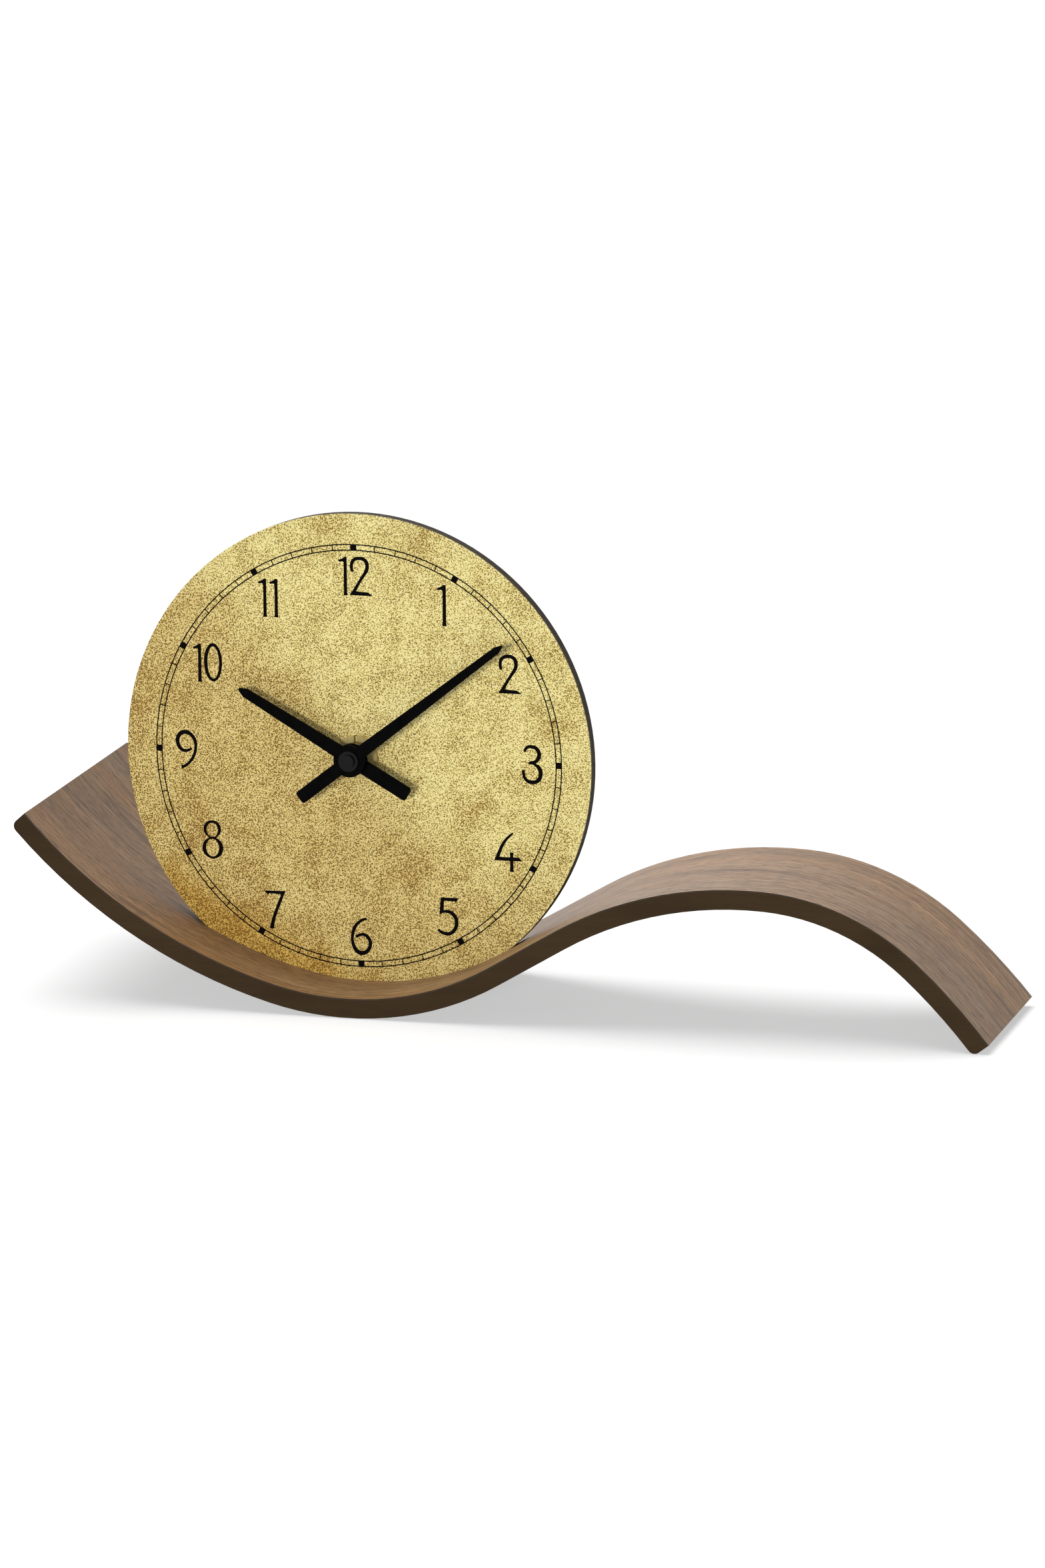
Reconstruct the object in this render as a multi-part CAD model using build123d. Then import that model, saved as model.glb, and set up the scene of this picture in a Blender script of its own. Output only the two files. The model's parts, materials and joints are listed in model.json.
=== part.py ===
"""Desk clock: a round dial standing in a wave-shaped band of veneered wood.

Millimetres. X runs to the right as seen from the front, Y away from the viewer, Z up.
The finished model stands on Z = 0 with its origin under the middle of its bounding box.
While it is built, X = 0 and Y = 0 lie at the middle of the dial's front face.
Inside the dial group, places are (across, up) seen from the front, and depths are
counted backward from the dial's front face, so what stands in front has a negative depth.
"""
import math
import os

from build123d import *

# Band of moulded wood, as its upper surface runs from left to right
band_thickness = 8.2
veneer_thickness = 0.6
end_rounding = 3.0
trough_offset = 3.5
trough_radius = 120.0
left_blend_angle = 15.4
left_arm_radius = 213.0
left_arm_angle = 34.2
rise_angle = 30.2
rise_length = 33.0
crest_radius = 157.5
crest_angle = 33.5
shoulder_radius = 100.0
shoulder_angle = 39.7
leg_radius = 240.0
standing_flat_width = 8.0

# Band seen from above: a straight front edge and a waisted back edge
front_reach = 33.0
waist_place = 190.0
waist_reach = 31.5
waist_radius = 700.0
fan_start = 88.0
fan_radius = 2100.0

# Dial
dial_radius = 100.0
dial_lean_angle = 4.2
dial_plate_thickness = 1.0
backing_thickness = 4.5
dial_hole_play = 0.3
wood_under_dial = 1.2
slot_play = 0.1
slot_extra_radius = 2.0
slot_shift = 0.9

# Round nut and washer that clamp the movement to the dial
nut_radius = 8.95
nut_thickness = 1.8
nut_slot_width = 1.6
nut_slot_depth = 3.4
washer_radius = 8.5
washer_thickness = 0.8

# Hands, pressed on at the angles of the photograph, clockwise from twelve
minute_hand_angle = 53.0
hour_hand_angle = 299.5
hand_thickness = 0.8
hand_boss_radius = 6.7
hand_collar_wall = 1.2
hand_collar_length = 1.2
minute_hand_reach = 83.0
minute_hand_tail = 27.3
minute_hand_width = 5.5
minute_tip_width = 3.0
minute_hand_gap = 1.2
hour_hand_reach = 55.5
hour_hand_tail = 27.6
hour_hand_width = 6.0
hour_tip_width = 3.8
hour_hand_gap = 2.8
tip_point_length = 3.2
tip_point_width_share = 0.25
tail_rounding = 1.2
cap_radius = 4.2
cap_step_radius = 2.7
cap_step_height = 1.1

# Movement case
case_corner_radius = 3.0
case_wall = 1.2
bush_radius = 4.0
bush_stand = 0.6
partition_wall = 1.0
partition_gap = 0.92
wheel_wall_gap = 1.0
rotor_top_room = 2.85
post_radius = 2.2
post_inset = 3.7
screw_radius = 0.9
screw_head_radius = 1.9
screw_head_height = 0.7
screw_length = 6.0
core_screw_length = 3.6
board_post_radius = 1.1
core_post_radius = 1.5
bearing_depth = 0.8

# Shafts and running clearances
running_clearance = 0.06
end_play = 0.1
thread_clearance = 0.02
minute_tube_radius = 1.6
hour_pipe_wall = 0.9
centre_pivot_radius = 1.2
pivot_radius = 0.7
rotor_pivot_radius = 0.45
setting_shaft_radius = 1.5
stud_radius = 0.8

# Gears: tooth counts are real ratios, modules are in millimetres
gear_width = 1.1
pinion_overhang = 0.2
layer_gap = 0.3
motion_module = 0.35
cannon_teeth = 12
work_wheel_teeth = 36
work_pinion_teeth = 10
hour_teeth = 40
setting_teeth = 18
centre_module = 0.33
centre_teeth = 60
third_pinion_teeth = 8
train_module = 0.28
third_teeth = 64
seconds_pinion_teeth = 8
seconds_teeth = 50
fifth_pinion_teeth = 10
fifth_teeth = 36
rotor_pinion_teeth = 6
addendum_share = 0.85
dedendum_share = 1.25
tooth_thickness_share = 0.42
tooth_tip_share = 0.4
work_axis_angle = 180.0
setting_axis_angle = 125.0
third_axis_angle = 60.0
seconds_axis_angle = 0.0
fifth_axis_angle = 90.0
rotor_axis_angle = 165.0

# Setting knob
knob_radius = 5.0
knob_height = 3.0
knob_gap = 0.4
knob_flutes = 18
knob_flute_radius = 0.45

# Stepping motor
magnet_radius = 3.0
magnet_length = 3.0
magnet_gap = 0.4
magnet_rear_gap = 0.5
stator_thickness = 1.0
stator_ring_width = 1.2
stator_arm_width = 2.4
stator_arm_drop = 5.1
core_width = 2.4
core_inset = 2.8
core_rotor_offset = 9.0
core_rise = 1.2
coil_inset = 3.0
flange_width = 6.0
flange_thickness = 0.8
bobbin_wall = 0.5
winding_radius = 2.7

# Circuit board and what sits on it
board_width = 8.2
board_thickness = 1.0
board_stand = 8.6
board_post_inset = 2.4
chip_radius = 2.6
chip_height = 1.1
chip_gap = 1.8
crystal_radius = 1.0
crystal_length = 6.0
crystal_gap = 1.4
board_margin = 1.0

# Battery and its contacts
battery_radius = 7.1
battery_length = 49.5
battery_nub_radius = 2.6
battery_nub_length = 1.0
battery_end_room = 1.05
battery_front_gap = 0.1
battery_top_gap = 0.2
battery_low_gap = 0.3
contact_thickness = 0.4
contact_width = 6.0
contact_tab_length = 3.0

# One overrun serves every cut
overrun = 1.0

# Turns in degrees
half_turn = 180.0
full_turn = 360.0


def upward(angle):
    """Unit vector in a front view at an angle counted from the right, anticlockwise."""
    return math.cos(math.radians(angle)), math.sin(math.radians(angle))


def slab(sketch, front, thickness):
    """Solid whose front view is the sketch, from a depth backward by a thickness."""
    return extrude(Plane.XZ.offset(-(front + thickness)) * sketch, thickness)


def disc(place, radius, front, rear):
    """Round slab about an (across, up) place between two depths."""
    return slab(Pos(*place) * Circle(radius), front, rear - front)


def block(left, low, right, high, front, rear):
    """Square-cornered slab between two corners of the front view and two depths."""
    middle = Pos((left + right) / 2, (low + high) / 2)
    return slab(middle * Rectangle(right - left, high - low), front, rear - front)


# The band's levels follow from its own sizes: it stands on a narrow flat under the trough
under_trough_radius = trough_radius + band_thickness
flat_rise = under_trough_radius - math.sqrt(
    under_trough_radius ** 2 - (standing_flat_width / 2) ** 2)
trough_level = band_thickness - flat_rise
dial_height = trough_level - band_thickness + wood_under_dial + dial_radius


def run_of_arcs(start, heading, steps):
    """Edges that follow one another smoothly; a step is (radius, turn) or (0, length)."""
    edges = []
    for radius, amount in steps:
        direction = upward(heading)
        if radius == 0:
            finish = (start[0] + amount * direction[0], start[1] + amount * direction[1])
            edge = Line(start, finish)
        else:
            edge = JernArc(start=start, tangent=direction, radius=radius, arc_size=amount)
            heading += amount
        end_point = edge @ 1
        start = (end_point.X, end_point.Y)
        edges.append(edge)
    return edges


def leg_turn():
    """Turn of the last stretch that brings its rounded lower corner down to the table."""
    heading = rise_angle - crest_angle - shoulder_angle
    edges = run_of_arcs(
        (trough_offset, trough_level), 0,
        [(trough_radius, rise_angle), (0, rise_length),
         (crest_radius, -crest_angle), (shoulder_radius, -shoulder_angle)])
    shoulder_end = edges[-1] @ 1
    centre_level = shoulder_end.Y - leg_radius * math.cos(math.radians(heading))
    corner_radius = leg_radius - band_thickness + end_rounding
    reach = math.hypot(corner_radius, end_rounding)
    lean = math.atan2(end_rounding, corner_radius)
    end_heading = lean + math.acos((end_rounding - centre_level) / reach)
    return math.degrees(end_heading) + heading


def band_line(depth):
    """Left and right runs of the line that lies a depth under the band's upper surface."""
    start = (trough_offset, trough_level - depth)
    left = run_of_arcs(start, half_turn, [
        (trough_radius + depth, -left_blend_angle),
        (left_arm_radius + depth, -left_arm_angle)])
    right = run_of_arcs(start, 0, [
        (trough_radius + depth, rise_angle),
        (0, rise_length),
        (crest_radius - depth, -crest_angle),
        (shoulder_radius - depth, -shoulder_angle),
        (leg_radius - depth, -leg_turn())])
    return left, right


def band_profile(top_depth, low_depth, rounding):
    """Front view of the layer of the band between two depths under its upper surface."""
    top_left, top_right = band_line(top_depth)
    low_left, low_right = band_line(low_depth)
    ends = [Line(top_left[-1] @ 1, low_left[-1] @ 1), Line(top_right[-1] @ 1, low_right[-1] @ 1)]
    face = make_face(top_left + top_right + low_left + low_right + ends)
    if rounding:
        tips = [low_left[-1] @ 1, low_right[-1] @ 1]
        corners = [min(face.vertices(), key=lambda v: (v.center() - tip).length) for tip in tips]
        face = fillet(corners, rounding)
    return face


def band_plan():
    """The band seen from above, a little longer than the band itself."""
    left_tip = band_line(band_thickness)[0][-1] @ 1
    right_tip = band_line(0)[1][-1] @ 1
    left_end = left_tip.X - overrun
    right_end = right_tip.X + overrun
    front = Line((right_end, -front_reach), (left_end, -front_reach))
    right_rise = math.degrees(math.asin((right_end - waist_place) / waist_radius))
    waist_turn = math.degrees(math.asin((waist_place - fan_start) / waist_radius))
    right_back = run_of_arcs((waist_place, waist_reach), 0, [(waist_radius, right_rise)])
    fan_exit = math.asin((fan_start - left_end) / fan_radius
                         + math.sin(math.radians(waist_turn)))
    fan_turn = math.degrees(fan_exit) - waist_turn
    left_back = run_of_arcs((waist_place, waist_reach), half_turn, [
        (waist_radius, -waist_turn), (fan_radius, -fan_turn)])
    sides = [Line(front @ 0, right_back[-1] @ 1), Line(front @ 1, left_back[-1] @ 1)]
    return make_face([front] + right_back + left_back + sides)


def band_blank(top_depth, low_depth, rounding):
    """One layer of the band, cut to the plan."""
    profile = band_profile(top_depth, low_depth, rounding)
    levels = profile.bounding_box()
    plan = band_plan()
    back = plan.bounding_box().max.Y + overrun
    layer = extrude(Plane.XZ.offset(-back) * profile, back + front_reach + overrun)
    column = extrude(Pos(0, 0, levels.min.Y - overrun) * plan, levels.size.Y + 2 * overrun)
    return layer & column


# Depths of the stack behind the dial's face and of the hands before it
dial_hole_radius = bush_radius + dial_hole_play
disc_back = dial_plate_thickness + backing_thickness
case_front = disc_back + washer_thickness
floor_depth = case_front + case_wall
case_back = floor_depth + battery_front_gap + 2 * battery_radius
case_depth = case_back - case_front
lid_front = case_back - case_wall
battery_middle = case_back - battery_radius
bush_front = -nut_thickness - bush_stand
hour_hand_stand = hour_hand_gap + hand_collar_length - bush_front
minute_hand_stand = hour_hand_stand + hand_thickness + minute_hand_gap + hand_collar_length
hour_front = hour_hand_stand + hand_thickness
minute_front = minute_hand_stand + hand_thickness
tube_front = -minute_front - cap_step_height / 2


def slot_cutter():
    """Space that the milled slot leaves for the lower edge of the dial, in the dial's frame."""
    radius = dial_radius + math.hypot(slot_shift, slot_extra_radius)
    return disc((slot_shift, slot_extra_radius), radius, -slot_play, disc_back + slot_play)


def lean_back(shape):
    """Move a solid from the dial's own upright frame to its place above the band."""
    return Location((0, 0, dial_height), (-dial_lean_angle, 0, 0)) * shape


def make_band_core():
    """Moulded wooden band under the veneer, slotted for the dial and flat where it stands."""
    core = band_blank(veneer_thickness, band_thickness, end_rounding) - lean_back(slot_cutter())
    below_table = extrude(Pos(0, 0, -band_thickness) * band_plan(), band_thickness)
    return core - below_table


def make_veneer():
    """Thin sheet of walnut glued on the upper side of the band."""
    return band_blank(0, veneer_thickness, 0) - lean_back(slot_cutter())


def make_dial_plate():
    """Thin metal disc that carries the hours."""
    plate = disc((0, 0), dial_radius, 0, dial_plate_thickness)
    return plate - disc((0, 0), dial_hole_radius, -overrun, dial_plate_thickness + overrun)


def make_backing():
    """Dark board disc behind the dial plate."""
    board = disc((0, 0), dial_radius, dial_plate_thickness, disc_back)
    return board - disc((0, 0), dial_hole_radius, 0, disc_back + overrun)


def make_washer():
    """Rubber ring between the board and the movement."""
    ring = disc((0, 0), washer_radius, disc_back, case_front)
    return ring - disc((0, 0), dial_hole_radius, disc_back - overrun, case_front + overrun)


def make_nut():
    """Flat round nut with two slots for a key."""
    ring = disc((0, 0), nut_radius, -nut_thickness, 0)
    bore = disc((0, 0), bush_radius + thread_clearance, -nut_thickness - overrun, overrun)
    across = nut_slot_width / 2
    reach = nut_radius + overrun
    upper = block(-across, nut_radius - nut_slot_depth, across, reach,
                  -nut_thickness - overrun, overrun)
    lower = block(-across, -reach, across, nut_slot_depth - nut_radius,
                  -nut_thickness - overrun, overrun)
    return ring - bore - upper - lower


def hand_outline(reach, tail, width, tip_width):
    """Front view of a hand that points up: it tapers to a chamfered tip."""
    half = width / 2
    tip = tip_width / 2
    point = tip * tip_point_width_share
    right = [(half, -tail), (half, 0), (tip, reach - tip_point_length), (point, reach)]
    left = [(-x, y) for x, y in reversed(right)]
    outline = make_face(Polyline(right + left, close=True))
    corners = [v for v in outline.vertices() if v.Y < -tail / 2]
    return fillet(corners, min(tail_rounding, half / 2))


def make_hand(reach, tail, width, tip_width, stand, shaft_radius, angle):
    """A pressed hand with its round boss in front and its collar behind."""
    blade = Rot(0, 0, -angle) * hand_outline(reach, tail, width, tip_width)
    hand = slab(blade + Circle(hand_boss_radius), -stand - hand_thickness, hand_thickness)
    hand += disc((0, 0), shaft_radius + hand_collar_wall, -stand, -stand + hand_collar_length)
    front = -stand - hand_thickness - overrun
    return hand - disc((0, 0), shaft_radius, front, -stand + hand_collar_length + overrun)


hour_pipe_bore = minute_tube_radius + running_clearance
hour_pipe_radius = hour_pipe_bore + hour_pipe_wall


def make_cap():
    """Round stepped cap pushed on the end of the minute tube."""
    rear = -minute_front
    step = rear - cap_step_height
    cap = disc((0, 0), cap_radius, step, rear) + disc(
        (0, 0), cap_step_radius, step - cap_step_height, step)
    return cap - disc((0, 0), minute_tube_radius, tube_front, rear + overrun)


def gear_reach(teeth, module):
    """Radius to the tips of a gear's teeth."""
    return module * (teeth / 2 + addendum_share)


def gear_face(teeth, module, turn, bore):
    """Front view of a clock gear: radial flanks inside the pitch circle, slim tips."""
    pitch_radius = teeth * module / 2
    tip_radius = gear_reach(teeth, module)
    root_radius = pitch_radius - dedendum_share * module
    half_tooth = half_turn / teeth * tooth_thickness_share
    half_tip = half_tooth * tooth_tip_share * pitch_radius / tip_radius
    points = []
    for tooth in range(teeth):
        middle = turn + full_turn / teeth * tooth
        for radius, offset in ((root_radius, -half_tooth), (pitch_radius, -half_tooth),
                               (tip_radius, -half_tip), (tip_radius, half_tip),
                               (pitch_radius, half_tooth), (root_radius, half_tooth)):
            across, up = upward(middle + offset)
            points.append((radius * across, radius * up))
    face = make_face(Polyline(points, close=True))
    return face - Circle(bore) if bore else face


def gear(place, teeth, module, turn, front, width, bore=0):
    """Toothed slab about a place."""
    return slab(Pos(*place) * gear_face(teeth, module, turn, bore), front, width)


def axis_beside(place, direction, first_teeth, second_teeth, module):
    """Place of a second axis whose gear meshes with a first one in a given direction."""
    distance = (first_teeth + second_teeth) * module / 2
    across, up = upward(direction)
    return place[0] + distance * across, place[1] + distance * up


def meshing_turn(turn, teeth, direction, next_teeth):
    """Turn of a gear whose gap receives the tooth of its neighbour."""
    return direction + half_turn - (half_turn - (direction - turn) * teeth) / next_teeth


# Layers of the gear train, counted backward from the case floor
layer_step = gear_width + layer_gap
hour_layer = floor_depth + end_play + layer_gap
work_layer = hour_layer + layer_step
centre_layer = work_layer + layer_step
third_layer = centre_layer + layer_step
seconds_layer = third_layer + layer_step
fifth_layer = seconds_layer + layer_step
spindle_front = floor_depth - bearing_depth + end_play
spindle_rear = lid_front + bearing_depth - end_play

# The second pair of the motion work shares the first pair's centre distance
hour_module = motion_module * (cannon_teeth + work_wheel_teeth) / (work_pinion_teeth + hour_teeth)

# Places of the axes
centre = (0, 0)
work_axis = axis_beside(centre, work_axis_angle, cannon_teeth, work_wheel_teeth, motion_module)
setting_axis = axis_beside(
    work_axis, setting_axis_angle, work_wheel_teeth, setting_teeth, motion_module)
third_axis = axis_beside(
    centre, third_axis_angle, centre_teeth, third_pinion_teeth, centre_module)
seconds_axis = axis_beside(
    third_axis, seconds_axis_angle, third_teeth, seconds_pinion_teeth, train_module)
fifth_axis = axis_beside(
    seconds_axis, fifth_axis_angle, seconds_teeth, fifth_pinion_teeth, train_module)
rotor_axis = axis_beside(
    fifth_axis, rotor_axis_angle, fifth_teeth, rotor_pinion_teeth, train_module)

# Inside of the case: wide enough for the battery and the train, with the battery bay below
battery_left = -battery_length / 2
battery_right = battery_length / 2
half_inside = max(
    battery_right + battery_nub_length + battery_end_room,
    seconds_axis[0] + gear_reach(seconds_teeth, train_module) + wheel_wall_gap)
stator_hole_radius = magnet_radius + magnet_gap
inside_top = rotor_axis[1] + stator_hole_radius + stator_ring_width + rotor_top_room
partition_top = -gear_reach(centre_teeth, centre_module) - partition_gap
partition_low = partition_top - partition_wall
battery_level = partition_low - battery_top_gap - battery_radius
inside_low = battery_level - battery_radius - battery_low_gap
case_top = inside_top + case_wall
case_low = inside_low - case_wall
half_case = half_inside + case_wall

# Board beside the motion work, sized by what sits on it
board_left = contact_thickness - half_inside
board_low = partition_top + contact_thickness
chip_level = board_low + contact_tab_length + chip_gap + chip_radius
crystal_low = chip_level + chip_radius + crystal_gap
board_top = crystal_low + crystal_length + board_margin
board_front = floor_depth + board_stand
board_back = board_front + board_thickness
strip_front = board_back + contact_thickness - contact_width


def make_minute_arbor():
    """Shaft of the minute hand with the cannon pinion moulded on it."""
    tube = disc(centre, minute_tube_radius, tube_front, work_layer)
    pinion = gear(centre, cannon_teeth, motion_module, work_axis_angle, work_layer, gear_width)
    rear = disc(centre, centre_pivot_radius, work_layer, spindle_rear)
    return tube + pinion + rear


def make_hour_wheel():
    """Hour wheel on its long pipe."""
    turn = meshing_turn(
        work_axis_angle, work_pinion_teeth, work_axis_angle + half_turn, hour_teeth)
    wheel = gear(centre, hour_teeth, hour_module, turn, hour_layer, gear_width)
    wheel += disc(centre, hour_pipe_radius, -hour_front, hour_layer)
    return wheel - disc(centre, hour_pipe_bore, -hour_front - overrun, work_layer)


def make_work_wheel():
    """Minute work wheel and pinion, turning on a stud of the case floor."""
    turn = meshing_turn(work_axis_angle, cannon_teeth, work_axis_angle, work_wheel_teeth)
    wheel = gear(work_axis, work_wheel_teeth, motion_module, turn, work_layer, gear_width)
    wheel += gear(work_axis, work_pinion_teeth, hour_module, work_axis_angle,
                  hour_layer, work_layer - hour_layer)
    bore = stud_radius + running_clearance
    return wheel - disc(work_axis, bore, hour_layer - overrun, centre_layer)


def make_setting_shaft():
    """Shaft and wheel behind the setting knob."""
    work_turn = meshing_turn(work_axis_angle, cannon_teeth, work_axis_angle, work_wheel_teeth)
    turn = meshing_turn(work_turn, work_wheel_teeth, setting_axis_angle, setting_teeth)
    wheel = gear(setting_axis, setting_teeth, motion_module, turn, work_layer, gear_width)
    knob_middle = case_back + knob_gap + knob_height / 2
    return wheel + disc(setting_axis, setting_shaft_radius, spindle_front, knob_middle)


def make_setting_knob():
    """Fluted knob on the back of the movement."""
    front = case_back + knob_gap
    knob = disc(setting_axis, knob_radius, front, front + knob_height)
    for number in range(knob_flutes):
        across, up = upward(full_turn / knob_flutes * number)
        rim = (setting_axis[0] + knob_radius * across, setting_axis[1] + knob_radius * up)
        knob -= disc(rim, knob_flute_radius, front - overrun, front + knob_height + overrun)
    return knob - disc(setting_axis, setting_shaft_radius, front - overrun,
                       front + knob_height / 2)


def make_centre_wheel():
    """Driven wheel that grips the minute arbor and slips when the hands are set."""
    bore = centre_pivot_radius + running_clearance
    return gear(centre, centre_teeth, centre_module, third_axis_angle,
                centre_layer, gear_width, bore)


def spindle(place, radius):
    """Plain pivot shaft from the case floor's bearing to the lid's."""
    return disc(place, radius, spindle_front, spindle_rear)


def make_third_wheel():
    """Third wheel with its pinion on one moulded spindle."""
    pinion_turn = meshing_turn(
        third_axis_angle, centre_teeth, third_axis_angle, third_pinion_teeth)
    wheel = spindle(third_axis, pivot_radius)
    wheel += gear(third_axis, third_pinion_teeth, centre_module, pinion_turn,
                  centre_layer - pinion_overhang, third_layer - centre_layer + pinion_overhang)
    return wheel + gear(third_axis, third_teeth, train_module, seconds_axis_angle,
                        third_layer, gear_width)


def make_seconds_wheel():
    """Seconds wheel with its pinion on one moulded spindle."""
    pinion_turn = meshing_turn(
        seconds_axis_angle, third_teeth, seconds_axis_angle, seconds_pinion_teeth)
    wheel = spindle(seconds_axis, pivot_radius)
    wheel += gear(seconds_axis, seconds_pinion_teeth, train_module, pinion_turn,
                  third_layer - pinion_overhang, seconds_layer - third_layer + pinion_overhang)
    return wheel + gear(seconds_axis, seconds_teeth, train_module, fifth_axis_angle,
                        seconds_layer, gear_width)


def make_fifth_wheel():
    """Reduction wheel beside the rotor, with its pinion."""
    pinion_turn = meshing_turn(
        fifth_axis_angle, seconds_teeth, fifth_axis_angle, fifth_pinion_teeth)
    wheel = spindle(fifth_axis, pivot_radius)
    wheel += gear(fifth_axis, fifth_pinion_teeth, train_module, pinion_turn,
                  seconds_layer - pinion_overhang, fifth_layer - seconds_layer + pinion_overhang)
    return wheel + gear(fifth_axis, fifth_teeth, train_module, rotor_axis_angle,
                        fifth_layer, gear_width)


magnet_rear = third_layer - magnet_rear_gap
magnet_front = magnet_rear - magnet_length
stator_front = magnet_front + (magnet_length - stator_thickness) / 2
core_front = stator_front + stator_thickness
core_rear = core_front + stator_thickness
core_middle = core_front + stator_thickness / 2
core_left = core_inset - half_inside
core_right = rotor_axis[0] - core_rotor_offset
core_height = rotor_axis[1] + core_rise
coil_left = core_left + coil_inset
coil_right = core_right - coil_inset


def make_rotor_spindle():
    """Rotor's shaft and pinion."""
    pinion_turn = meshing_turn(
        rotor_axis_angle, fifth_teeth, rotor_axis_angle, rotor_pinion_teeth)
    shaft = spindle(rotor_axis, rotor_pivot_radius)
    return shaft + gear(rotor_axis, rotor_pinion_teeth, train_module, pinion_turn,
                        fifth_layer - pinion_overhang, gear_width + 2 * pinion_overhang)


def make_rotor_magnet():
    """Round magnet pressed on the rotor's shaft."""
    magnet = disc(rotor_axis, magnet_radius, magnet_front, magnet_rear)
    return magnet - disc(rotor_axis, rotor_pivot_radius,
                         magnet_front - overrun, magnet_rear + overrun)


def upright(left, low, right, high):
    """Rectangle of the front view between two corners."""
    return Pos((left + right) / 2, (low + high) / 2) * Rectangle(right - left, high - low)


def core_screw_places():
    """Middles of the two screws that clamp the core to the stator."""
    half = stator_arm_width / 2
    return [(core_left + half, core_height), (core_right - half, core_height)]


def make_stator():
    """Flat steel plate round the rotor, with an arm to each end of the coil core."""
    across = rotor_axis[0]
    core_top = core_height + core_width / 2
    arm_low = core_height - stator_arm_drop - stator_arm_width / 2
    plate = Pos(*rotor_axis) * Circle(stator_hole_radius + stator_ring_width)
    plate += upright(core_left, arm_low, across, arm_low + stator_arm_width)
    plate += upright(core_left, arm_low, core_left + stator_arm_width, core_top)
    plate += upright(core_right - stator_arm_width, core_top - core_width, across, core_top)
    plate -= Pos(*rotor_axis) * Circle(stator_hole_radius)
    for place in core_screw_places():
        plate -= Pos(*place) * Circle(screw_radius)
    return slab(plate, stator_front, stator_thickness)


def make_coil_core():
    """Steel bar through the coil."""
    face = upright(core_left, core_height - core_width / 2, core_right,
                   core_height + core_width / 2)
    for place in core_screw_places():
        face -= Pos(*place) * Circle(screw_radius)
    return slab(face, core_front, stator_thickness)


def make_core_screws():
    """Two small screws through the core and the stator into posts of the case."""
    screws = []
    head_radius = (screw_head_radius + screw_radius) / 2
    for place in core_screw_places():
        shank = disc(place, screw_radius, core_rear - core_screw_length, core_rear)
        screws.append(shank + disc(place, head_radius, core_rear, core_rear + screw_head_height))
    return Compound(screws)


def core_sleeve(section, left, right):
    """A section seen along the coil core, drawn out between two places along it."""
    plane = Plane(origin=(left, core_middle, core_height), x_dir=(0, 1, 0), z_dir=(1, 0, 0))
    return extrude(plane * section, right - left)


def make_bobbin():
    """Plastic bobbin with two square flanges."""
    tube = Rectangle(stator_thickness + 2 * bobbin_wall, core_width + 2 * bobbin_wall)
    flange = Rectangle(flange_width, flange_width)
    bobbin = core_sleeve(tube, coil_left, coil_right)
    bobbin += core_sleeve(flange, coil_left, coil_left + flange_thickness)
    bobbin += core_sleeve(flange, coil_right - flange_thickness, coil_right)
    tunnel = Rectangle(stator_thickness, core_width)
    return bobbin - core_sleeve(tunnel, coil_left - overrun, coil_right + overrun)


def make_winding():
    """Copper winding between the flanges, as one solid sleeve."""
    tube = Rectangle(stator_thickness + 2 * bobbin_wall, core_width + 2 * bobbin_wall)
    section = Circle(winding_radius) - tube
    return core_sleeve(section, coil_left + flange_thickness, coil_right - flange_thickness)


def post_places():
    """Middles of the three posts that hold the lid."""
    reach = half_case - post_inset
    top = case_top - post_inset
    return [(-reach, top), (reach, top), (reach, partition_top + post_inset)]


def board_post_places():
    """Middles of the two posts under the circuit board."""
    across = board_left + board_post_inset
    return [(across, board_low + board_post_inset),
            (across, board_top - board_post_inset)]


def spindle_bearings():
    """Each spindle's place and radius."""
    return [(third_axis, pivot_radius), (seconds_axis, pivot_radius),
            (fifth_axis, pivot_radius), (rotor_axis, rotor_pivot_radius)]


def case_outline():
    """Front view of the whole movement."""
    outline = RectangleRounded(2 * half_case, case_top - case_low, case_corner_radius)
    return Pos(0, (case_top + case_low) / 2) * outline


def lid_outline():
    """Front view of the lid: the case's outline above the battery bay."""
    return case_outline() & upright(-half_case, partition_low, half_case, case_top)


def wall_strip(side, low, high):
    """Strip of contact metal flat on a side wall, between two levels."""
    wall = side * half_inside
    inner = wall - side * contact_thickness
    return block(min(wall, inner), low, max(wall, inner), high,
                 strip_front, strip_front + contact_width)


lid_screw_point = case_back - screw_head_height - screw_length


def make_case():
    """Tray of the movement: gear chamber above, battery bay below, threaded bush in front."""
    case = slab(case_outline(), case_front, case_depth)
    case -= slab(lid_outline(), lid_front, case_wall + overrun)
    case -= block(-half_inside, partition_top, half_inside, inside_top,
                  floor_depth, case_back + overrun)
    case -= block(-half_inside, inside_low, half_inside, partition_low,
                  floor_depth, case_back + overrun)
    for side in (-1, 1):
        case -= wall_strip(side, partition_low - overrun, partition_top + overrun)
    for place in post_places():
        case += disc(place, post_radius, floor_depth, lid_front)
        case -= disc(place, screw_radius, lid_screw_point, lid_front + overrun)
    for place in board_post_places():
        case += disc(place, board_post_radius, floor_depth, board_front)
    for place in core_screw_places():
        case += disc(place, core_post_radius, floor_depth, stator_front)
        case -= disc(place, screw_radius, core_rear - core_screw_length, stator_front + overrun)
    case += disc(centre, bush_radius, bush_front, floor_depth)
    case += disc(work_axis, stud_radius, floor_depth, centre_layer - layer_gap)
    case -= disc(centre, hour_pipe_radius + running_clearance,
                 bush_front - overrun, floor_depth + overrun)
    for place, radius in spindle_bearings() + [(setting_axis, setting_shaft_radius)]:
        case -= disc(place, radius + running_clearance, floor_depth - bearing_depth,
                     floor_depth + overrun)
    return case


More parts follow.
